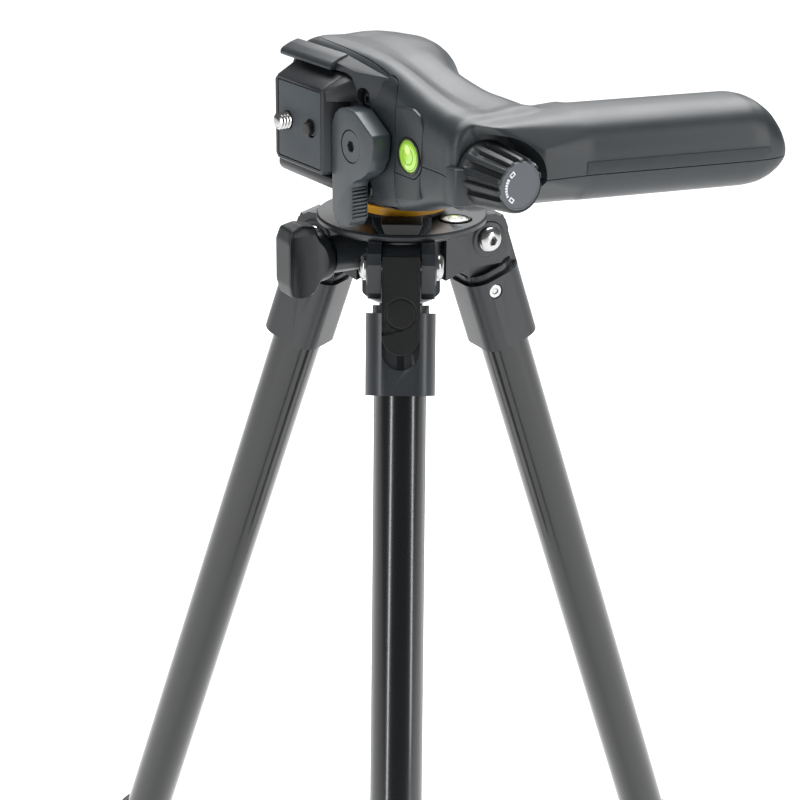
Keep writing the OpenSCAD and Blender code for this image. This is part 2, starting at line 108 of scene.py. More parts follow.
def makeCamera():
    tilt, roll = math.radians(camera["tilt"]), math.radians(camera["roll"])
    look = Vector((0, math.cos(tilt), -math.sin(tilt)))
    right = look.cross(upAxis).normalized()
    up = right.cross(look)
    rightRolled = right * math.cos(roll) + up * math.sin(roll)
    upRolled = up * math.cos(roll) - right * math.sin(roll)
    data = bpy.data.cameras.new("camera")
    data.sensor_width = 36
    data.lens = 18 / math.tan(math.radians(camera["view"]) / 2)
    data.clip_start = 0.02
    data.clip_end = 60
    eye = crownTop - Vector((0, 0, camera["aimDrop"])) - look * camera["distance"]
    turn = Matrix((rightRolled, upRolled, -look)).transposed().to_4x4()
    obj = bpy.data.objects.new("camera", data)
    obj.matrix_world = Matrix.Translation(eye) @ turn
    bpy.context.scene.collection.objects.link(obj)
    bpy.context.scene.camera = obj


lights = {
    "left": {"at": (-0.95, -1.25, 0.75), "aim": (0, 0, 0.25), "size": (0.16, 1.3), "power": 9},
    "right": {"at": (1.25, -0.75, 0.75), "aim": (0, 0, 0.25), "size": (0.16, 1.3), "power": 8},
    "back": {"at": (0.3, 1.5, 1.5), "aim": (0, 0, 0.38), "size": (1.6, 0.9), "power": 16},
    "top": {"at": (-0.1, 0.15, 1.6), "aim": (0, 0, 0.4), "size": (1.1, 0.8), "power": 12},
}
overhead = {"strength": 3.3, "angle": 50, "lean": (0.1, 0.45, 1.0), "world": 0.17,
            "floorRadius": 9, "floor": (0.93, 0.93, 0.93), "floorRoughness": 0.9}


def makeStage():
    bm = bmesh.new()
    bmesh.ops.create_circle(bm, cap_ends=True, segments=96, radius=overhead["floorRadius"])
    mesh = bpy.data.meshes.new("floor")
    bm.to_mesh(mesh)
    bm.free()
    floor = bpy.data.objects.new("floor", mesh)
    bpy.context.scene.collection.objects.link(floor)
    finish = Finish("pale_floor")
    finish.shader(color=overhead["floor"], roughness=overhead["floorRoughness"])
    mesh.materials.append(finish.material)
    world = bpy.data.worlds.new("world")
    bpy.context.scene.world = world
    world.use_nodes = True
    world.node_tree.nodes["Background"].inputs[0].default_value = (1, 1, 1, 1)
    world.node_tree.nodes["Background"].inputs[1].default_value = overhead["world"]
    bpy.context.scene.view_settings.view_transform = "Standard"
    sun = bpy.data.lights.new("overhead", "SUN")
    sun.energy, sun.angle = overhead["strength"], math.radians(overhead["angle"])
    sunObject = bpy.data.objects.new("overhead", sun)
    sunObject.matrix_world = Vector(overhead["lean"]).to_track_quat("Z", "Y").to_matrix().to_4x4()
    bpy.context.scene.collection.objects.link(sunObject)
    for name, light in lights.items():
        data = bpy.data.lights.new(name, "AREA")
        data.shape = "RECTANGLE"
        data.size, data.size_y = light["size"]
        data.energy = light["power"]
        obj = bpy.data.objects.new(name, data)
        at, aim = Vector(light["at"]), Vector(light["aim"])
        obj.matrix_world = Matrix.Translation(at) @ (aim - at).to_track_quat("-Z", "Y").to_matrix().to_4x4()
        bpy.context.scene.collection.objects.link(obj)


class Wire:
    # a socket that can be used in sums
    def __init__(self, finish, socket):
        self.finish, self.socket = finish, socket

    def sum(self, operation, *others):
        node = self.finish.node("ShaderNodeMath", {"operation": operation}, [self, *others])
        return Wire(self.finish, node.outputs[0])

    def __add__(self, other): return self.sum("ADD", other)
    def __radd__(self, other): return self.sum("ADD", other)
    def __sub__(self, other): return self.sum("SUBTRACT", other)
    def __rsub__(self, other): return (self * -1).sum("ADD", other)
    def __mul__(self, other): return self.sum("MULTIPLY", other)
    def __rmul__(self, other): return self.sum("MULTIPLY", other)


class Finish:
    def __init__(self, name):
        self.material = bpy.data.materials.new(name)
        self.material.use_nodes = True
        self.tree = self.material.node_tree
        self.tree.nodes.clear()
        self.output = self.tree.nodes.new("ShaderNodeOutputMaterial")

    def node(self, kind, settings=None, inputs=()):
        node = self.tree.nodes.new(kind)
        for key, value in (settings or {}).items():
            setattr(node, key, value)
        pairs = inputs.items() if isinstance(inputs, dict) else enumerate(inputs)
        for key, value in pairs:
            socket = node.inputs[key]
            if isinstance(value, Wire):
                self.tree.links.new(value.socket, socket)
            elif socket.type == "RGBA" and len(value) == 3:
                socket.default_value = (*value, 1)
            else:
                socket.default_value = value
        return node

    def wire(self, kind, settings=None, inputs=(), output=0):
        return Wire(self, self.node(kind, settings, inputs).outputs[output])

    def place(self):
        return self.wire("ShaderNodeTexCoord", output="Object")

    def noise(self, scale, detail=2.0):
        return self.wire("ShaderNodeTexNoise", inputs={"Vector": self.place(), "Scale": scale,
                                                      "Detail": detail, "Roughness": 0.5})

    def mix(self, factor, a, b):
        return self.wire("ShaderNodeMix", {"data_type": "RGBA"}, {0: factor, 6: a, 7: b}, output=2)

    def bump(self, height, strength, distance):
        return self.wire("ShaderNodeBump", inputs={"Height": height, "Strength": strength, "Distance": distance})

    def shader(self, color, roughness, metallic=0.0, normal=None, **fixed):
        inputs = {"Base Color": color, "Roughness": roughness, "Metallic": metallic}
        if normal:
            inputs["Normal"] = normal
        inputs.update(fixed)
        node = self.node("ShaderNodeBsdfPrincipled", inputs=inputs)
        self.tree.links.new(node.outputs[0], self.output.inputs[0])
        return self.material


def mouldedPlastic(name, color, roughness, grain=9000, depth=0.00004, spread=0.18):
    # glass-filled plastic: fine spark grain, soft mottling, a little shine where it has been handled
    finish = Finish(name)
    mottle = finish.noise(60, 3)
    fine = finish.noise(grain, 1)
    coarse = finish.noise(grain / 3, 2)
    tint = finish.mix(mottle, tuple(c * (1 - spread) for c in color), tuple(c * (1 + spread) for c in color))
    rough = roughness - 0.1 + mottle * 0.12 + fine * 0.08
    height = fine * 0.6 + coarse * 0.4
    return finish.shader(tint, rough, normal=finish.bump(height, 0.35, depth), **{"Specular IOR Level": 0.5})


def paintedMetal(name, color, roughness):
    # powder paint: low orange-peel waves and fine speckle
    finish = Finish(name)
    peel = finish.noise(900, 2)
    speck = finish.noise(5200, 1)
    cloud = finish.noise(45, 2)
    tint = finish.mix(cloud, tuple(c * 0.86 for c in color), tuple(c * 1.14 for c in color))
    height = peel * 0.7 + speck * 0.3
    return finish.shader(tint, roughness - 0.06 + cloud * 0.12, normal=finish.bump(height, 0.3, 0.00005),
                         **{"Coat Weight": 0.15, "Coat Roughness": 0.3})


def anodisedTube(name, color, roughness):
    # drawn tube: a faint fine grain and small changes of gloss
    finish = Finish(name)
    cloud = finish.noise(30, 2)
    fine = finish.noise(4000, 1)
    tint = finish.mix(cloud, tuple(c * 0.85 for c in color), tuple(c * 1.15 for c in color))
    return finish.shader(tint, roughness - 0.03 + cloud * 0.06, normal=finish.bump(fine, 0.08, 0.00002),
                         **{"Coat Weight": 0.4, "Coat Roughness": 0.12})


def brightSteel(name, color=(0.75, 0.74, 0.71), roughness=0.22):
    finish = Finish(name)
    scratch = finish.noise(1600, 3)
    cloud = finish.noise(120, 2)
    tint = finish.mix(cloud, tuple(c * 0.9 for c in color), color)
    return finish.shader(tint, roughness - 0.05 + scratch * 0.12, metallic=1.0,
                         normal=finish.bump(scratch, 0.1, 0.00002))


def softRubber(name, color=(0.016, 0.017, 0.018), roughness=0.72):
    finish = Finish(name)
    grain = finish.noise(3500, 2)
    dust = finish.noise(70, 3)
    tint = finish.mix(dust, color, tuple(c * 1.6 + 0.004 for c in color))
    return finish.shader(tint, roughness + grain * 0.12, normal=finish.bump(grain, 0.4, 0.00006))


# a level's liquid with a painted glow: its emission stands in for the light that the vial catches
def levelLiquid(name, color, paintedGlow):
    finish = Finish(name)
    cloud = finish.noise(150, 1)
    tint = finish.mix(cloud, color, tuple(min(1, c * 1.2) for c in color))
    return finish.shader(tint, 0.05 + cloud * 0.03, **{"Coat Weight": 1.0, "Coat Roughness": 0.03,
                         "Emission Color": (*color, 1), "Emission Strength": paintedGlow})


finishes = {
    "crown_metal": paintedMetal("crown_metal", (0.018, 0.022, 0.026), 0.36),
    "bolt_steel": brightSteel("bolt_steel", (0.5, 0.5, 0.5), 0.2),
    "level_cup": mouldedPlastic("level_cup", (0.004, 0.004, 0.005), 0.3),
    # the two level liquids below carry a small painted glow
    "level_clear": levelLiquid("level_clear", (0.86, 0.9, 0.82), 0.15),
    "level_green": levelLiquid("level_green", (0.34, 0.6, 0.06), 0.12),
    "black_plastic": mouldedPlastic("black_plastic", (0.005, 0.0055, 0.006), 0.4),
    "bush_plastic": mouldedPlastic("bush_plastic", (0.09, 0.09, 0.09), 0.5),
    "knob_plastic": mouldedPlastic("knob_plastic", (0.011, 0.014, 0.016), 0.42),
    "tube_black": anodisedTube("tube_black", (0.002, 0.003, 0.004), 0.22),
    "accent_orange": mouldedPlastic("accent_orange", (0.75, 0.36, 0.01), 0.35, spread=0.05),
    "ball_metal": paintedMetal("ball_metal", (0.12, 0.125, 0.13), 0.38),
    "shell_plastic": mouldedPlastic("shell_plastic", (0.020, 0.025, 0.029), 0.42),
    "cover_plastic": mouldedPlastic("cover_plastic", (0.017, 0.021, 0.025), 0.44),
    "screw_black": paintedMetal("screw_black", (0.012, 0.014, 0.016), 0.35),
    "brake_brass": brightSteel("brake_brass", (0.6, 0.45, 0.2), 0.35),
    "dial_grey": mouldedPlastic("dial_grey", (0.085, 0.095, 0.11), 0.45),
    "lever_metal": paintedMetal("lever_metal", (0.032, 0.041, 0.047), 0.38),
    "plate_black": mouldedPlastic("plate_black", (0.012, 0.014, 0.017), 0.45),
    "pad_rubber": softRubber("pad_rubber", (0.033, 0.040, 0.046), 0.58),
    "foot_rubber": softRubber("foot_rubber"),
    "lock_plastic": softRubber("lock_plastic", (0.012, 0.014, 0.016), 0.55),
    "grained_band": mouldedPlastic("grained_band", (0.026, 0.032, 0.037), 0.6, grain=2600, depth=0.00016, spread=0.3),
    "white_ink": mouldedPlastic("white_ink", (0.75, 0.78, 0.8), 0.5, spread=0.05),
    "green_line": mouldedPlastic("green_line", (0.16, 0.36, 0.02), 0.4, spread=0.1),
    "grey_line": mouldedPlastic("grey_line", (0.2, 0.21, 0.2), 0.4, spread=0.1),
    # the bubble's finish carries a small painted glow
    "bubble_light": levelLiquid("bubble_light", (0.55, 0.8, 0.2), 0.1),
}
for entry in frame["record"]["subparts"]:
    mesh = nodes[entry["node"]].data
    mesh.materials.clear()
    mesh.materials.append(finishes[entry["material_slot"]])
    for polygon in mesh.polygons:
        polygon.material_index = 0

makeStage()
makeCamera()
print("frame, stage and materials ready")


# pieces are drawn in millimetres until they are finished
def addLoop(bm, points):
    corners = [bm.verts.new(p) for p in points]
    return [bm.edges.new((a, b)) for a, b in zip(corners, corners[1:] + corners[:1])]


def loft(rings):
    # a closed skin over rings of equal length
    bm = bmesh.new()
    loops = [addLoop(bm, ring) for ring in rings]
    for before, after in zip(loops, loops[1:]):
        bmesh.ops.bridge_loops(bm, edges=before + after)
    for loop in (loops[0], loops[-1]):
        bmesh.ops.contextual_create(bm, geom=loop)
    bmesh.ops.recalc_face_normals(bm, faces=bm.faces)
    return bm


def slab(corners, low, high, rounding=0.0, edge=0.0, segments=3):
    # an outline in x and y, its corners rounded, raised from low to high, its edges softened
    bm = bmesh.new()
    bm.faces.new([bm.verts.new((x, y, low)) for x, y in corners])
    if rounding:
        bmesh.ops.bevel(bm, geom=bm.verts[:], offset=rounding, segments=6, profile=0.5, affect="VERTICES",
                        material=-1, clamp_overlap=True)
    raised = bmesh.ops.extrude_face_region(bm, geom=bm.faces[:])["geom"]
    top = [g for g in raised if isinstance(g, bmesh.types.BMVert)]
    bmesh.ops.translate(bm, verts=top, vec=(0, 0, high - low))
    bmesh.ops.recalc_face_normals(bm, faces=bm.faces)
    if edge:
        softenEdges(bm, edge, segments)
    return bm


def box(x, y, z, edge=0.0, rounding=0.0, segments=2):
    corners = [(x[0], y[0]), (x[1], y[0]), (x[1], y[1]), (x[0], y[1])]
    return slab(corners, z[0], z[1], rounding, edge, segments)


def spun(profile, steps=64, edge=0.0):
    # a profile of (radius, height) points turned about z
    bm = bmesh.new()
    line = [bm.verts.new((r, 0, z)) for r, z in profile]
    edges = [bm.edges.new(pair) for pair in zip(line, line[1:])]
    bmesh.ops.spin(bm, geom=line + edges, axis=(0, 0, 1), cent=(0, 0, 0), steps=steps,
                   angle=2 * math.pi, use_merge=True)
    bmesh.ops.remove_doubles(bm, verts=bm.verts, dist=0.0005)
    bmesh.ops.holes_fill(bm, edges=[e for e in bm.edges if e.is_boundary], sides=0)
    bmesh.ops.recalc_face_normals(bm, faces=bm.faces)
    if edge:
        softenEdges(bm, edge, 2)
    return bm


def softenEdges(bm, width, segments=2, angle=28):
    sharp = [e for e in bm.edges if len(e.link_faces) == 2 and e.calc_face_angle(0) > math.radians(angle)]
    bmesh.ops.bevel(bm, geom=sharp, offset=width, segments=segments, profile=0.5, affect="EDGES",
                    material=-1, clamp_overlap=True)


def join(parts):
    whole = bmesh.new()
    for part in parts:
        mesh = bpy.data.meshes.new("part")
        part.to_mesh(mesh)
        part.free()
        whole.from_mesh(mesh)
        bpy.data.meshes.remove(mesh)
    return whole


def moved(bm, shift=(0, 0, 0), turns=()):
    # turns are (degrees, axis), applied in order before the shift
    for degrees, axis in turns:
        bm.transform(Matrix.Rotation(math.radians(degrees), 4, axis))
    bm.transform(Matrix.Translation(shift))
    return bm


def facingPlate(bm):
    # local z turns to -y, the way that the platform faces
    return moved(bm, turns=[(90, "X")])


# turns a shape drawn along z to run along x
alongU = Matrix(((0, 0, 1, 0), (1, 0, 0, 0), (0, 1, 0, 0), (0, 0, 0, 1)))


def worked(bm, modifiers):
    # a bmesh with modifiers applied: (type, settings), with settings that hold a bmesh made into objects
    made = []

    def asObject(source):
        mesh = bpy.data.meshes.new("work")
        source.to_mesh(mesh)
        source.free()
        obj = bpy.data.objects.new("work", mesh)
        bpy.context.scene.collection.objects.link(obj)
        made.append(obj)
        return obj

    base = asObject(bm)
    for kind, settings in modifiers:
        modifier = base.modifiers.new(kind.lower(), kind)
        for key, value in settings.items():
            setattr(modifier, key, asObject(value) if isinstance(value, bmesh.types.BMesh) else value)
    view = bpy.context.evaluated_depsgraph_get()
    view.update()
    result = bmesh.new()
    mesh = bpy.data.meshes.new_from_object(base.evaluated_get(view))
    result.from_mesh(mesh)
    bpy.data.meshes.remove(mesh)
    for obj in made:
        mesh = obj.data
        bpy.data.objects.remove(obj)
        bpy.data.meshes.remove(mesh)
    return result


def boolean(bm, operation, other):
    return worked(bm, [("BOOLEAN", {"operation": operation, "solver": "EXACT", "object": other})])


def united(bm, others):
    for other in others:
        bm = boolean(bm, "UNION", other)
    return bm


def fused(parts, voxel, smoothing):
    bm = worked(join(parts), [("REMESH", {"mode": "VOXEL", "voxel_size": voxel, "adaptivity": 0})])
    for _ in range(smoothing):
        bmesh.ops.smooth_vert(bm, verts=bm.verts, factor=0.5, use_axis_x=True, use_axis_y=True, use_axis_z=True)
    return bm


def carved(bm, cutters):
    cuts = [("BOOLEAN", {"operation": "DIFFERENCE", "solver": "EXACT", "object": c}) for c in cutters]
    return worked(bm, cuts)


def addPiece(name, bm, place, slot, body, replaced=(), angle=38, bevel=0.0, finish=None):
    if place is not None:
        bm.transform(place)
    mesh = bpy.data.meshes.new(name)
    bm.to_mesh(mesh)
    bm.free()
    mesh.materials.append(finish or finishes[slot])
    mesh.shade_smooth()
    mesh.set_sharp_from_angle(angle=math.radians(angle))
    obj = bpy.data.objects.new(name, mesh)
    bpy.context.scene.collection.objects.link(obj)
    if bevel:
        soft = obj.modifiers.new("soft_edges", "BEVEL")
        soft.width, soft.segments, soft.limit_method = bevel * mm, 2, "ANGLE"
        soft.angle_limit = math.radians(30)
        soft.harden_normals = True
    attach(obj, body)
    if replaced:
        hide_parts(*replaced)
    return obj


def bodyOf(node):
    return body_of(nodes[node])[0]


def softCopy(node, slot, bevel=0.4, angle=30):
    # a CAD part with its edges eased, so that they catch the light
    bm = bmesh.new()
    bm.from_mesh(nodes[node].data)
    bmesh.ops.remove_doubles(bm, verts=bm.verts, dist=0.002 * mm)
    bmesh.ops.dissolve_limit(bm, angle_limit=math.radians(0.6), verts=bm.verts, edges=bm.edges)
    return addPiece(node + "_soft", bm, None, slot, bodyOf(node), (node,), angle, bevel)


# each row: u, ridge height, crest (y, height), dip between them, middle of the back, bottom
shell = {
    "rows": (
        (-24.4, 20.5, -12, 19.5, 0, -6, -21), (-22, 25, -9, 24, 0, 4, -25), (-16, 27.6, -4, 27.4, 0, 14, -27.6),
        (-6, 28, 0, 28, 0, 20, -28), (6, 28, 0, 28, 0, 20, -28), (16, 28, -3, 27, 0.1, 15, -28),
        (26, 27.7, -6, 26, 0.6, 8, -27.6), (36, 26.8, -7, 23.6, 1.5, 3, -27), (46, 24.6, -6, 20.6, 2.2, 4, -25.4),
        (56, 21.4, -5.5, 18.6, 2.0, 6, -22.6), (64, 18.8, -5, 17.9, 1.4, 9, -19.6),
        (74, 16.6, -4, 17.0, 0.6, 12, -17), (83.6, 14.6, -3, 16.2, 0.0, 16, -16),
    ),
    "front": -35.6, "ridgeY": -29.5, "dome": 23.4, "domeUp": 1.6,
    "voxel": 0.62, "smoothing": 10, "split": -4.0, "seam": 0.16,
}
grip = {
    "at": (85.2, 8.6, 0), "lean": 15.3, "half": 16.4, "depth": 18.8, "length": 83.6, "endRound": 15.5,
    "power": 0.74, "endNarrow": 0.34, "bandStart": 2, "bandBack": 66,
}


def bodyRing(u, ridge, crestY, crest, dip, back, low):
    front, ridgeY = shell["front"], shell["ridgeY"]
    middle = ((ridgeY + crestY) / 2, (ridge + crest) / 2 - dip)
    points = [(front, 0), (front, ridge - 8), (front + 1.6, ridge - 3.2), (ridgeY, ridge), middle,
              (crestY, crest), ((crestY + back) / 2 + 1.5, crest - 3.5), (back, crest * 0.5), (back, low * 0.45),
              ((crestY + back) / 2, low + 2), (-12, low), (ridgeY, low), (front + 1.6, low + 3), (front, low + 8)]
    return [(u, y, z) for y, z in points]


def gripRing(along, grow=0.0, steps=48):
    # the end closes as an ellipse about the parting line
    rest = (grip["length"] - along) / grip["endRound"]
    close = math.sqrt(max(0.0, 1 - (1 - rest) ** 2)) if rest < 1 else 1.0
    ring = []
    for i in range(steps):
        a = 2 * math.pi * i / steps
        c, s = math.cos(a), math.sin(a)
        x = (grip["depth"] + grow) * math.copysign(abs(c) ** grip["power"], c) * (1 - grip["endNarrow"] * (1 - close))
        z = (grip["half"] + grow) * math.copysign(abs(s) ** grip["power"], s)
        ring.append((x, along, shell["split"] + (z - shell["split"]) * close))
    return ring


gripLocal = Matrix.Translation(grip["at"]) @ Matrix.Rotation(-math.radians(grip["lean"]), 4, "Z")


def gripSkin(grow=0.0, start=2.0):
    r = grip["endRound"]
    alongs = [start, 12, 30, 50, 66]
    alongs += [grip["length"] - r * (1 - math.sin(math.radians(t))) for t in (0, 20, 38, 54, 66, 76, 83, 88)]
    bm = loft([gripRing(a, grow) for a in alongs])
    bm.transform(gripLocal)
    return bm


def hullOf(points):
    bm = bmesh.new()
    for p in points:
        bm.verts.new(p)
    result = bmesh.ops.convex_hull(bm, input=bm.verts[:])
    loose = [v for v in result["geom_interior"] if isinstance(v, bmesh.types.BMVert)]
    bmesh.ops.delete(bm, geom=loose, context="VERTS")
    bmesh.ops.recalc_face_normals(bm, faces=bm.faces)
    return bm


def headBody():
    body = loft([bodyRing(*row) for row in shell["rows"]])
    bmesh.ops.subdivide_edges(body, edges=body.edges[:], cuts=2, use_grid_fill=True, smooth=0.6)
    dome = bmesh.new()
    bmesh.ops.create_uvsphere(dome, u_segments=48, v_segments=32, radius=shell["dome"])
    moved(dome, (0, 0, shell["domeUp"]))
    ring = [gripLocal @ Vector(p) for p in gripRing(6, -0.2)]
    hood = hullOf([(74, -31, 15), (74, 14, 15.6), (86, -28.5, 14.8), (91, -25, 14.6), (96, -18, 10.8),
                   (101, -11.5, 6.6), (76, -31, 8), (96, -18, 3), (101.2, -11.5, -4.6), (76, 6, -5)]
                  + [p for p in ring if p.z > -5])
    under = hullOf([(72, -34, -4), (84, -34, -4), (84, -34, -13), (72, -34, -14), (72, -10, -17.5), (84, -10, -17),
                    (66, 6, -17), (101.2, -11.5, -4)] + [p for p in ring if p.z < -3])
    return fused([body, dome, hood, under, gripSkin()], shell["voxel"], shell["smoothing"])


cover = {
    "seam": 46.6, "back": 22.05, "ridgeBack": 29.6, "gap": 0.17,
    "topLine": ((-60, -25.6), (-25, -28.5), (6, -30.3), (26, -32.0), (40, -33.3)),
    "cornerLine": ((46.6, 10), (46.6, 17.6), (46.2, 19.8), (45.1, 21.7), (43.4, 23.1), (41.4, 23.8),
                   (39.5, 24.1)),
    "inside": (-18.3, 43.9, -33.0, 25.2), "screws": ((28.3, 13.2), (28.3, -21)),
    "screwRoom": (3.2, 4.6, 34.4), "leverAt": (31, -2.4), "leverDish": (36.1, 15.4, 15.9), "leverBore": 3.2,
    "seatFloor": 37.2, "platePocket": ((-12.4, 13.6), (-60, -30), (-8, 8)),
    # the seat of the plate as (u, w), with a shoulder at its upper right
    "seat": ((-24, -16.9), (18.8, -16.9), (18.8, 11), (24.4, 11), (24.4, 17.2), (23.1, 20.5), (19.8, 21.8),
             (-24, 21.8)),
    # lips over and under the plate as (y, z), each with its run along u
    "lips": ((((-34, 21.8), (-34, 27.2), (-37.8, 26.2), (-41.4, 24.6), (-42.4, 23.4), (-42.2, 21.8)), (-20.8, 13.5)),
             (((-34, -20), (-38, -17.3), (-44, -17.3), (-44.2, -19.6), (-43, -21.6), (-37.5, -24.6), (-34, -25.6)),
              (-19.5, 17.6))),
    "lipRound": 0.7, "lipEdge": 1.4,
    "blend": ((10, -34, 27), (10, -39.4, 25), (10, -39.7, 23), (10, -34, 17), (24, -38.4, 23), (24, -38.6, 20),
              (27.4, -37.6, 19.5), (27.6, -37.4, 12), (40, -34, 23), (41, -34.5, 18), (34, -34, 6), (27.5, -34, 6)),
}


def coverZone(gap):
    # the front cover's room: its top seam climbs to the ridge and rounds into the upright seam
    far, seam = 60, cover["seam"] - gap
    line = [(u, y - gap) for u, y in cover["topLine"]]
    behind = box((-far, seam), (-far, -cover["back"] - gap), (-far, 19))
    above = slab(line + [(line[-1][0], -far), (-far, -far)], 18, far)
    corner = facingPlate(slab([(line[-1][0] - 0.5, 10)] + [(u - gap, w - gap) for u, w in cover["cornerLine"]],
                              30, far))
    return united(behind, [above, corner])


def vialZone(gap):
    # the upper shell reaches down round the level
    low = shell["split"] - 5.6 + gap
    left, right = cover["seam"] - 1, 62.9 - gap
    corners = [(left, low), (right - 3.5, low), (right, low + 3.5), (right, 0), (left, 0)]
    return facingPlate(slab(corners, 30 + gap, 60, rounding=1.5))


# what is cut from the shells, and the flat panel round the head's level
shellCuts = {
    "panel": ((46.9, -20), (61.4, -17), (62.6, -2), (63.6, 10.5), (61.5, 14), (57.5, 15.7), (46.9, 14.8)),
    "panelDepth": (33.5, 36.2), "panelRound": 0.8, "panelEdge": 0.5,
    "triggerSlot": ((-36, -7.6), (3.2, 69), (-7.3, 7.3)), "triggerRound": 2,
    "stemHalf": 7.7, "ballRoom": 19.3, "far": 60, "reach": 130,
    "knobRoom": (14.8, 14.4, 26), "knobAt": (84.5, -24.5, -3), "levelRoom": 6.95, "levelFrom": 35,
    "levelAt": (55.6, 0, -1.8), "sharp": 42,
}


def makeShells():
    cuts, far, gap = shellCuts, shellCuts["far"], shell["seam"]
    body = headBody()
    panel = slab(cuts["panel"], *cuts["panelDepth"], rounding=cuts["panelRound"], edge=cuts["panelEdge"])
    body = united(body, [facingPlate(panel)])
    slot = box(*cuts["triggerSlot"], rounding=cuts["triggerRound"])
    slot.transform(gripLocal)
    half = cuts["stemHalf"]
    stemPath = ((-half, -far), (-half, 0), (0, half), (far, half), (far, -far))
    stem = hullOf([(x, y, z) for x in (-half, half) for y, z in stemPath])
    ballRoom = bmesh.new()
    bmesh.ops.create_uvsphere(ballRoom, u_segments=48, v_segments=32, radius=cuts["ballRoom"])
    wide, narrow, deep = cuts["knobRoom"]
    recess = moved(spun([(0, 0), (wide, 0), (narrow, deep), (0, deep)], 64), cuts["knobAt"], [(90, "Y")])
    start, radius = cuts["levelFrom"], cuts["levelRoom"]
    levelRoom = spun([(0, start), (radius, start), (radius, far), (0, far)], 48)
    levelRoom = moved(facingPlate(levelRoom), cuts["levelAt"])
    shellBody = carved(body.copy(), [coverZone(-cover["gap"]), slot, stem, ballRoom, recess, levelRoom])
    wideZone = ((-far, cuts["reach"]), (-far, cuts["reach"]))
    upperZone = united(box(*wideZone, (shell["split"] + gap, far)), [vialZone(gap)])
    lowerZone = carved(box(*wideZone, (-far, shell["split"] - gap)), [vialZone(-gap)])
    for name, zone in (("upper_shell", upperZone), ("lower_shell", lowerZone)):
        part = boolean(shellBody.copy(), "INTERSECT", zone)
        addPiece(name + "_moulded", part, headPlace, "shell_plastic", "head", (name,), angle=cuts["sharp"])
    shellBody.free()
    makeCover(body)


def coverCuts():
    far = shellCuts["far"]
    inLeft, inRight, inFront, inHalf = cover["inside"]
    half, above, floor = cover["screwRoom"]
    dish, inner, outer = cover["leverDish"]
    cuts = [box((inLeft, inRight), (inFront, -10), (-inHalf, inHalf)),
            facingPlate(slab(cover["seat"], cover["seatFloor"], far, rounding=0.8)),
            box(*cover["platePocket"])]
    for u, w in cover["screws"]:
        room = [(u - half, w - half), (u + half, w - half), (u + half, w + above), (u - half, w + above)]
        cuts.append(facingPlate(slab(room, floor, far, rounding=half - 0.1)))
    for profile, steps in (([(0, dish), (inner, dish), (outer, far), (0, far)], 72),
                           ([(0, 0), (cover["leverBore"], 0), (cover["leverBore"], far), (0, far)], 24)):
        u, w = cover["leverAt"]
        cuts.append(moved(facingPlate(spun(profile, steps)), (u, 0, w)))
    return cuts


def makeCover(body):
    skin = boolean(body, "INTERSECT", coverZone(cover["gap"]))
    bars = []
    for profile, run in cover["lips"]:
        bar = slab(profile, *run, rounding=cover["lipRound"], edge=cover["lipEdge"])
        bar.transform(alongU)
        bars.append(bar)
    whole = join([carved(united(skin, bars), coverCuts()), carved(hullOf(cover["blend"]), coverCuts())])
    addPiece("front_cover_moulded", whole, headPlace, "cover_plastic", "head", ("front_cover",), angle=35)


def makeGripBand():
    # the grained strip along the parting line, proud of the smooth grip
    level, half, end = shell["split"], grip["depth"] + 0.55, grip["length"] + 0.35
    inner, start, back = half - 3, grip["bandStart"], grip["bandBack"]
    band = slab([(half, start), (half, end), (-half, end), (-half, back), (-inner, back), (-inner, end - 6),
                 (inner, end - 6), (inner, start)], level + 0.3, level + 4.9)
    tips = [e for e in band.edges if all(v.co.y > end - 0.01 for v in e.verts)
            and abs(e.verts[0].co.z - e.verts[1].co.z) > 1]
    bmesh.ops.bevel(band, geom=tips, offset=grip["endRound"] * 0.98, segments=10, profile=0.5, affect="EDGES",
                    material=-1)
    softenEdges(band, 0.45, 2, 40)
    band.transform(gripLocal)
    addPiece("grip_band", band, headPlace, "shell_plastic", "head", finish=finishes["grained_band"])


# the quick plate, its pad, screw and pin
plate = {
    "middle": 0.6, "seat": 38.65, "face": 47.5, "padHalf": 14.4, "padDeep": 1.3, "groove": 0.35,
    "left": 16.4, "right": 16.05, "half": 16.1,
    # height, how far the right side stands out, how far the top stands out
    "levels": ((37.3, 1.6, 4.9), (38.2, 1.6, 4.9), (46.9, 0.15, 0.2), (47.5, -0.45, -0.45)),
    "shoulder": ((17, 11.4, 37.3), (23.9, 11.4, 37.3), (23.9, 16.6, 37.3), (22.6, 19.8, 37.3), (19.2, 21, 37.3),
                 (15, 21, 37.3), (15.5, 11.4, 46.6), (16.5, 11.4, 46.6), (16.5, 15, 46.6), (15, 16, 46.6)),
    "screwAt": -8, "pinAt": 8, "screwHole": 3.3, "pinHole": 3.2, "padHole": 3.6, "headHole": 6.6, "collarHole": 4.5,
    "thread": 3.15, "core": 2.5, "pitch": 1.27, "screwLong": 5.2,
}


def square(middle, half):
    return [(middle - half, -half), (middle + half, -half), (middle + half, half), (middle - half, half)]


def hexPrism(across, low, high):
    r, turns = across / math.sqrt(3), [math.radians(60 * i) for i in range(6)]
    return slab([(r * math.cos(a), r * math.sin(a)) for a in turns], low, high)


def peg(radius, low, high, x, steps=32):
    # a plain cutter along the plate's axis
    return moved(spun([(0, low), (radius, low), (radius, high), (0, high)], steps), (x, 0, 0))


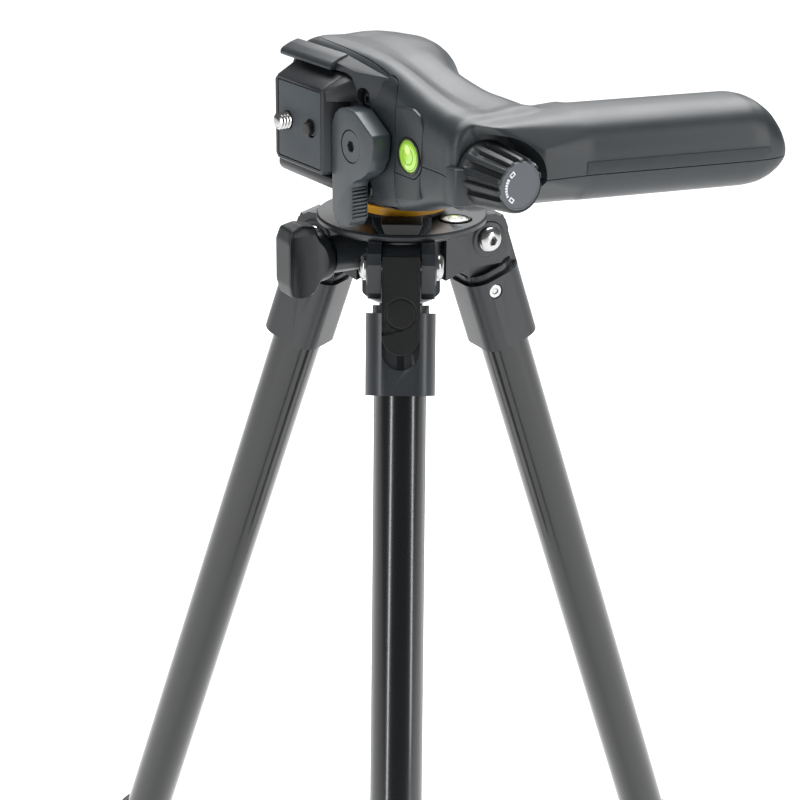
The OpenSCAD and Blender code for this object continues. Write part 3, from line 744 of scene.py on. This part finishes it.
def makePlate():
    m, face, seat = plate["middle"], plate["face"], plate["seat"]
    screwX, pinX = m + plate["screwAt"], m + plate["pinAt"]
    rings = []
    for height, grow, lift in plate["levels"]:
        left, right = m - plate["left"], m + plate["right"] + grow
        low, high = -plate["half"] - min(grow, 0.4), plate["right"] + lift
        rings.append([(x, y, height) for x, y in (
            (left, low + 1.4), (left + 1.4, low), (right - 1.4, low), (right, low + 1.4), (right, high - 2.4),
            (right - 0.7, high - 0.7), (right - 2.4, high), (left + 1.4, high), (left, high - 1.4))])
    shoulder = hullOf(plate["shoulder"])
    softenEdges(shoulder, 0.5, 2, 20)
    pocket = slab(square(m, plate["padHalf"] + plate["groove"]), face - plate["padDeep"], face + 3, rounding=0.9)
    holes = [peg(plate["screwHole"], 30, 60, screwX), peg(plate["pinHole"], 30, 60, pinX),
             peg(plate["headHole"], 30, 41.8, screwX), peg(plate["collarHole"], 30, 41.8, pinX)]
    whole = join([carved(loft(rings), [pocket] + holes), shoulder])
    addPiece("quick_plate_body", facingPlate(whole), headPlace, "plate_black", "plate", ("quick_plate",))
    pad = slab(square(m, plate["padHalf"]), face - plate["padDeep"] + 0.02, face - 0.05, rounding=0.7, edge=0.25)
    pad = carved(pad, [peg(plate["padHole"], 30, 60, x, 40) for x in (screwX, pinX)])
    addPiece("plate_pad_grooved", facingPlate(pad), headPlace, "pad_rubber", "plate", ("plate_pad",))
    # the camera screw, thread by thread
    core, thread, pitch = plate["core"], plate["thread"], plate["pitch"]
    profile = [(0, seat + 0.4), (6.2, seat + 0.4), (6.2, seat + 3), (2.5, seat + 3.2), (2.5, face - 0.6)]
    z, top = face - 0.4, face + plate["screwLong"]
    while z + pitch < top - 0.4:
        profile += [(core, z), (thread, z + pitch * 0.42), (thread, z + pitch * 0.56), (core, z + pitch * 0.98)]
        z += pitch
    profile += [(core + 0.1, top - 0.8), (1.9, top - 0.2), (1.0, top), (0, top)]
    screw = carved(spun(profile, 48), [box((-8, 8), (-0.7, 0.7), (30, seat + 1.2))])
    addPiece("camera_screw_threaded", facingPlate(moved(screw, (screwX, 0, 0))), headPlace, "bolt_steel",
             "camera_screw", ("camera_screw",), angle=50)
    pin = spun([(0, seat + 0.4), (4.2, seat + 0.4), (4.2, seat + 3), (2.9, seat + 3), (2.9, face - 0.5),
                (2.4, face - 0.2), (2.4, face + 1.9), (2.0, face + 2.35), (0, face + 2.4)], 40)
    addPiece("locating_pin_round", facingPlate(moved(pin, (pinX, 0, 0))), headPlace, "black_plastic",
             "locating_pin", ("locating_pin",))


# the locking lever and its screw, drawn as (u, w) on the front face
lever = {
    "outline": ((18.5, -29.6), (18.5, 3.5), (20.2, 7.8), (23.6, 10.4), (28, 11), (33.7, 10.8), (45.1, 3.9), (45.2, 1),
                (44.3, -5.2), (41.8, -9.6), (38.2, -12.6), (34.4, -14.4), (32, -15.6), (31, -17.6), (31, -30.5),
                (28.6, -33.4), (22, -33.5)),
    "back": 36.75, "face": 44.7, "ribs": 9, "ribFrom": -18.6, "ribStep": 1.42, "ribHalf": 0.36,
    "screwSeat": 6.25, "seatDeep": 2.6, "bore": 3.15, "hex": 4,
}


def makeLever():
    face, half = lever["face"], lever["ribHalf"]
    u, w = cover["leverAt"]
    body = slab(lever["outline"], lever["back"], face, rounding=0.8, edge=0.55)
    seat = moved(peg(lever["screwSeat"], face - lever["seatDeep"], face + 4, 0, 64), (u, w, 0))
    bore = moved(peg(lever["bore"], 20, 60, 0), (u, w, 0))
    step = box((30.2, 34), (-33, -18), (face - 7.4, face - 0.9))
    parts = [carved(body, [seat, bore, step])]
    for i in range(lever["ribs"]):
        y = lever["ribFrom"] - lever["ribStep"] * i
        parts.append(box((29.9, 30.95), (y - half, y + half), (face - 7.3, face - 1.0), edge=0.12))
    addPiece("clamp_lever_body", facingPlate(join(parts)), headPlace, "lever_metal", "lever", ("clamp_lever",))
    screw = spun([(0, 25.5), (3, 25.5), (3, 42.4), (5.2, 42.4), (6, 42.9), (6, face - 0.35), (5.7, face - 0.08),
                  (0, face - 0.08)], 64)
    screw = moved(carved(screw, [hexPrism(lever["hex"], face - 2, face + 2)]), (u, w, 0))
    addPiece("lever_screw_flush", facingPlate(screw), headPlace, "lever_metal", bodyOf("lever_screw"),
             ("lever_screw",))


def makeCoverScrews():
    parts = []
    for u, w in cover["screws"]:
        screw = spun([(0, 21), (1.4, 21), (1.4, 33.6), (2.7, 33.6), (2.7, 35.1), (2.3, 35.5), (0, 35.5)], 32)
        parts.append(moved(carved(screw, [hexPrism(2.4, 34.3, 37)]), (u, w, 0)))
    addPiece("cover_screws_small", facingPlate(join(parts)), headPlace, "screw_black", bodyOf("cover_screws"),
             ("cover_screws",))


# the tension knob and its dial, along +x from its back face
knob = {"at": (84.6, -24.5, -3.0), "long": 20.5, "base": 11.9, "tip": 9.6, "flutes": 9, "fluteDeep": 1.7,
        "fluteFrom": -8, "fluteTo": 212, "fluteStart": 1.6, "fluteRamp": 2.6, "well": 8.75, "bore": 2.55,
        # heights of the rings, and how far the last two draw in
        "heights": (0, 0.5, 1.6, 2.4, 3.4, 4.2, 8, 12, 16, 19.2, 20.1, 20.5), "drawIn": (0.985, 0.955),
        "dashes": 7, "dashFrom": 62, "dashStep": 9.2, "marksAt": (38, 140), "markHalf": 1.1, "ink": (20.3, 20.46)}


def knobRing(height, points=288):
    share = height / knob["long"]
    radius = knob["base"] + (knob["tip"] - knob["base"]) * share
    deep = knob["fluteDeep"] * min(1, max(0, (height - knob["fluteStart"]) / knob["fluteRamp"]))
    step = (knob["fluteTo"] - knob["fluteFrom"]) / knob["flutes"]
    ring = []
    for i in range(points):
        angle = 360 * i / points
        along = (angle - knob["fluteFrom"]) % 360
        cut = 0.0
        if along < knob["fluteTo"] - knob["fluteFrom"]:
            wave = math.cos(2 * math.pi * along / step)
            cut = deep * min(1, max(0, 0.5 - wave * 1.5))
        r = radius - cut
        ring.append((r * math.cos(math.radians(angle)), r * math.sin(math.radians(angle)), height))
    return ring


def makeKnob():
    # angles run from +y, away from the platform, over the top
    turned = Matrix.Translation(knob["at"]) @ alongU
    rings = [knobRing(z) for z in knob["heights"]]
    for i, share in zip((-2, -1), knob["drawIn"]):
        rings[i] = [(x * share, y * share, z) for x, y, z in rings[i]]
    body = carved(loft(rings), [peg(knob["well"], knob["long"] - 0.9, 40, 0, 72), peg(knob["bore"], -5, 11.1, 0)])
    body.transform(turned)
    addPiece("tension_knob_fluted", body, headPlace, "knob_plastic", "tension", ("tension_knob",), angle=34)
    dial = spun([(0, 19.6), (8.6, 19.6), (8.6, 20.25), (8.3, 20.6), (7.9, 20.62), (7.75, 20.4), (0, 20.4)], 72)
    dial.transform(turned)
    addPiece("tension_dial_face", dial, headPlace, "dial_grey", "tension", ("tension_dial",))
    marks, half = [], knob["markHalf"]
    for i in range(knob["dashes"]):
        dash = box((-0.38, 0.38), (5.3 + 0.06 * i, 6.5), knob["ink"], rounding=0.12)
        marks.append(moved(dash, turns=[(knob["dashFrom"] + knob["dashStep"] * i, "Z")]))
    for angle in knob["marksAt"]:
        hole = box((0.5 - half, half - 0.5), (5.3, 6.1), (20, 21))
        mark = carved(box((-half, half), (4.9, 6.5), knob["ink"], rounding=0.25), [hole])
        marks.append(moved(mark, turns=[(angle, "Z")]))
    ink = join(marks)
    ink.transform(turned)
    addPiece("dial_marks", ink, headPlace, "dial_grey", "tension", finish=finishes["white_ink"])


# the two levels
levels = {
    "head": {"place": headPlace @ Matrix.Translation(shellCuts["levelAt"]) @ Matrix.Rotation(math.pi / 2, 4, "X"),
             "radius": 6.0, "cup": 33.0, "lens": 34.6, "top": 36.6, "slot": "level_green", "line": "green_line"},
    "crown": {"place": crownPlace @ Matrix.Translation((20.6, -10.2, 0)), "radius": 5.2, "cup": -2.4, "lens": -1.6,
              "top": 0.35, "slot": "level_clear", "line": "grey_line"},
}


def makeLevel(name, place, radius, cup, lens, top, slot, line):
    # drawn along z with its face at the top
    body, node = bodyOf(name + "_level_cup"), name + "_level_"
    ring = spun([(0, cup), (radius + 0.85, cup), (radius + 0.85, top - 0.1), (radius + 0.6, top + 0.15),
                 (radius + 0.1, top + 0.15), (radius - 0.05, top - 0.3), (radius - 0.05, lens), (0, lens)], 64)
    addPiece(node + "ring", ring, place, "level_cup", body, (node + "cup",))
    glass = spun([(0, lens + 0.02), (radius - 0.1, lens + 0.02), (radius - 0.1, top - 0.35),
                  (radius - 0.5, top - 0.1), (radius * 0.5, top + 0.12), (0, top + 0.2)], 64)
    addPiece(node + "lens", glass, place, slot, body, (node + "vial",), angle=60)
    circles = []
    for r, wide in ((radius * 0.86, 0.16), (radius * 0.5, 0.2)):
        lift = top + 0.2 - 0.28 * (r / radius) ** 2
        circles.append(spun([(r - wide, lift - 0.1), (r - wide, lift), (r + wide, lift - 0.01),
                             (r + wide, lift - 0.1)], 64))
    addPiece(node + "circles", join(circles), place, "level_cup", body, finish=finishes[line])
    bubble = bmesh.new()
    bmesh.ops.create_uvsphere(bubble, u_segments=24, v_segments=12, radius=radius * 0.3)
    bubble.transform(Matrix.Diagonal((1, 1, 0.18, 1)))
    moved(bubble, (-0.08 * radius, 0.42 * radius, top + 0.12))
    addPiece(node + "bubble", bubble, place, "level_cup", body, finish=finishes["bubble_light"])


wingKnob = {
    "hub": ((0, 33), (8.2, 33), (9.4, 35.5), (9.8, 39), (9.8, 44), (8.8, 46), (0, 46)),
    "wing": ((13.4, 4.2, 40), (14.6, 4.9, 46), (13.2, 5.2, 51), (8.5, 6.4, 52.3), (4, 7.5, 38.5)),
    "voxel": 0.6, "smoothing": 5, "scoop": 9.5, "scoopAt": (9.2, 13.4, 46), "bore": (2.6, 32, 48),
}


def makeWingKnob():
    # a chunky wing with a hollowed grip on each side
    hub = spun(wingKnob["hub"], 48, 0.5)
    wing = hullOf([(x * sx, y * sy, z) for x, y, z in wingKnob["wing"] for sx in (1, -1) for sy in (1, -1)])
    body = fused([hub, wing], wingKnob["voxel"], wingKnob["smoothing"])
    x, y, z = wingKnob["scoopAt"]
    cuts = [moved(peg(wingKnob["scoop"], -20, 20, 0, 48), (side * x, side * y, z), [(90, "Y")]) for side in (1, -1)]
    cuts.append(peg(*wingKnob["bore"], 0, 24))
    addPiece("column_lock_wing", carved(body, cuts), knobPlace(), "knob_plastic", bodyOf("column_lock_knob"),
             ("column_lock_knob",))


def makeCheeks():
    # light bevels either side of the index block
    corners = ((8.2, -23, 4.5), (11.4, -23, 4.2), (6.6, -33, 0.1), (8.4, -32, 0.1), (8.2, -23, 0.1), (11.4, -23, 0.1))
    for name, side in (("index_cheek_left", -1), ("index_cheek_right", 1)):
        cheek = hullOf([(side * x, y, z) for x, y, z in corners])
        addPiece(name, cheek, crownPlace, "crown_metal", bodyOf("crown"), bevel=0.3)


def makeLug():
    # the stop block beside the tension knob
    outline = ((80.2, -26), (80.2, -38.2), (86, -38.2), (88.6, -34.5), (88.6, -31), (84, -26))
    lug = hullOf([(x, y, z) for x, y in outline for z in (-12.8, 0.5)])
    softenEdges(lug, 0.7, 2, 20)
    addPiece("knob_lug", lug, headPlace, "shell_plastic", "head")


makeShells()
makeGripBand()
makeLug()
makeWingKnob()
makeCheeks()
print("head shells ready")
makePlate()
makeLever()
makeCoverScrews()
makeKnob()
print("plate, lever and knob ready")
for levelName, values in levels.items():
    makeLevel(levelName, **values)
# how far the edges of the plain parts are eased
eased = {
    "crown": 0.55, "hinge_bolts": 0.3, "index_block": 0.5, "column_bush": 0.3, "column_plate": 0.4,
    "column_end_cap": 0.5, "pan_ring": 0.35, "pan_base": 0.5, "ball_stem": 0.3, "brake_cup": 0.3,
    "tension_screw": 0.2, "squeeze_trigger": 1.1, "trigger_pin": 0.2, "column_lock_stud": 0.2, "column_tube": 0.2,
}
perLeg = {"collar": 0.9, "angle_tab": 0.5, "collar_screw": 0.3, "upper_tube": 0.2, "upper_lock": 0.6,
          "middle_tube": 0.2, "lower_lock": 0.6, "lower_tube": 0.2, "foot": 0.7}
for leg in ("front", "right", "left"):
    for part, width in perLeg.items():
        eased[leg + "_" + part] = width
slotOf = {entry["node"]: entry["material_slot"] for entry in frame["record"]["subparts"]}
for node, width in eased.items():
    softCopy(node, slotOf[node], width)
print("crown, column and legs ready")
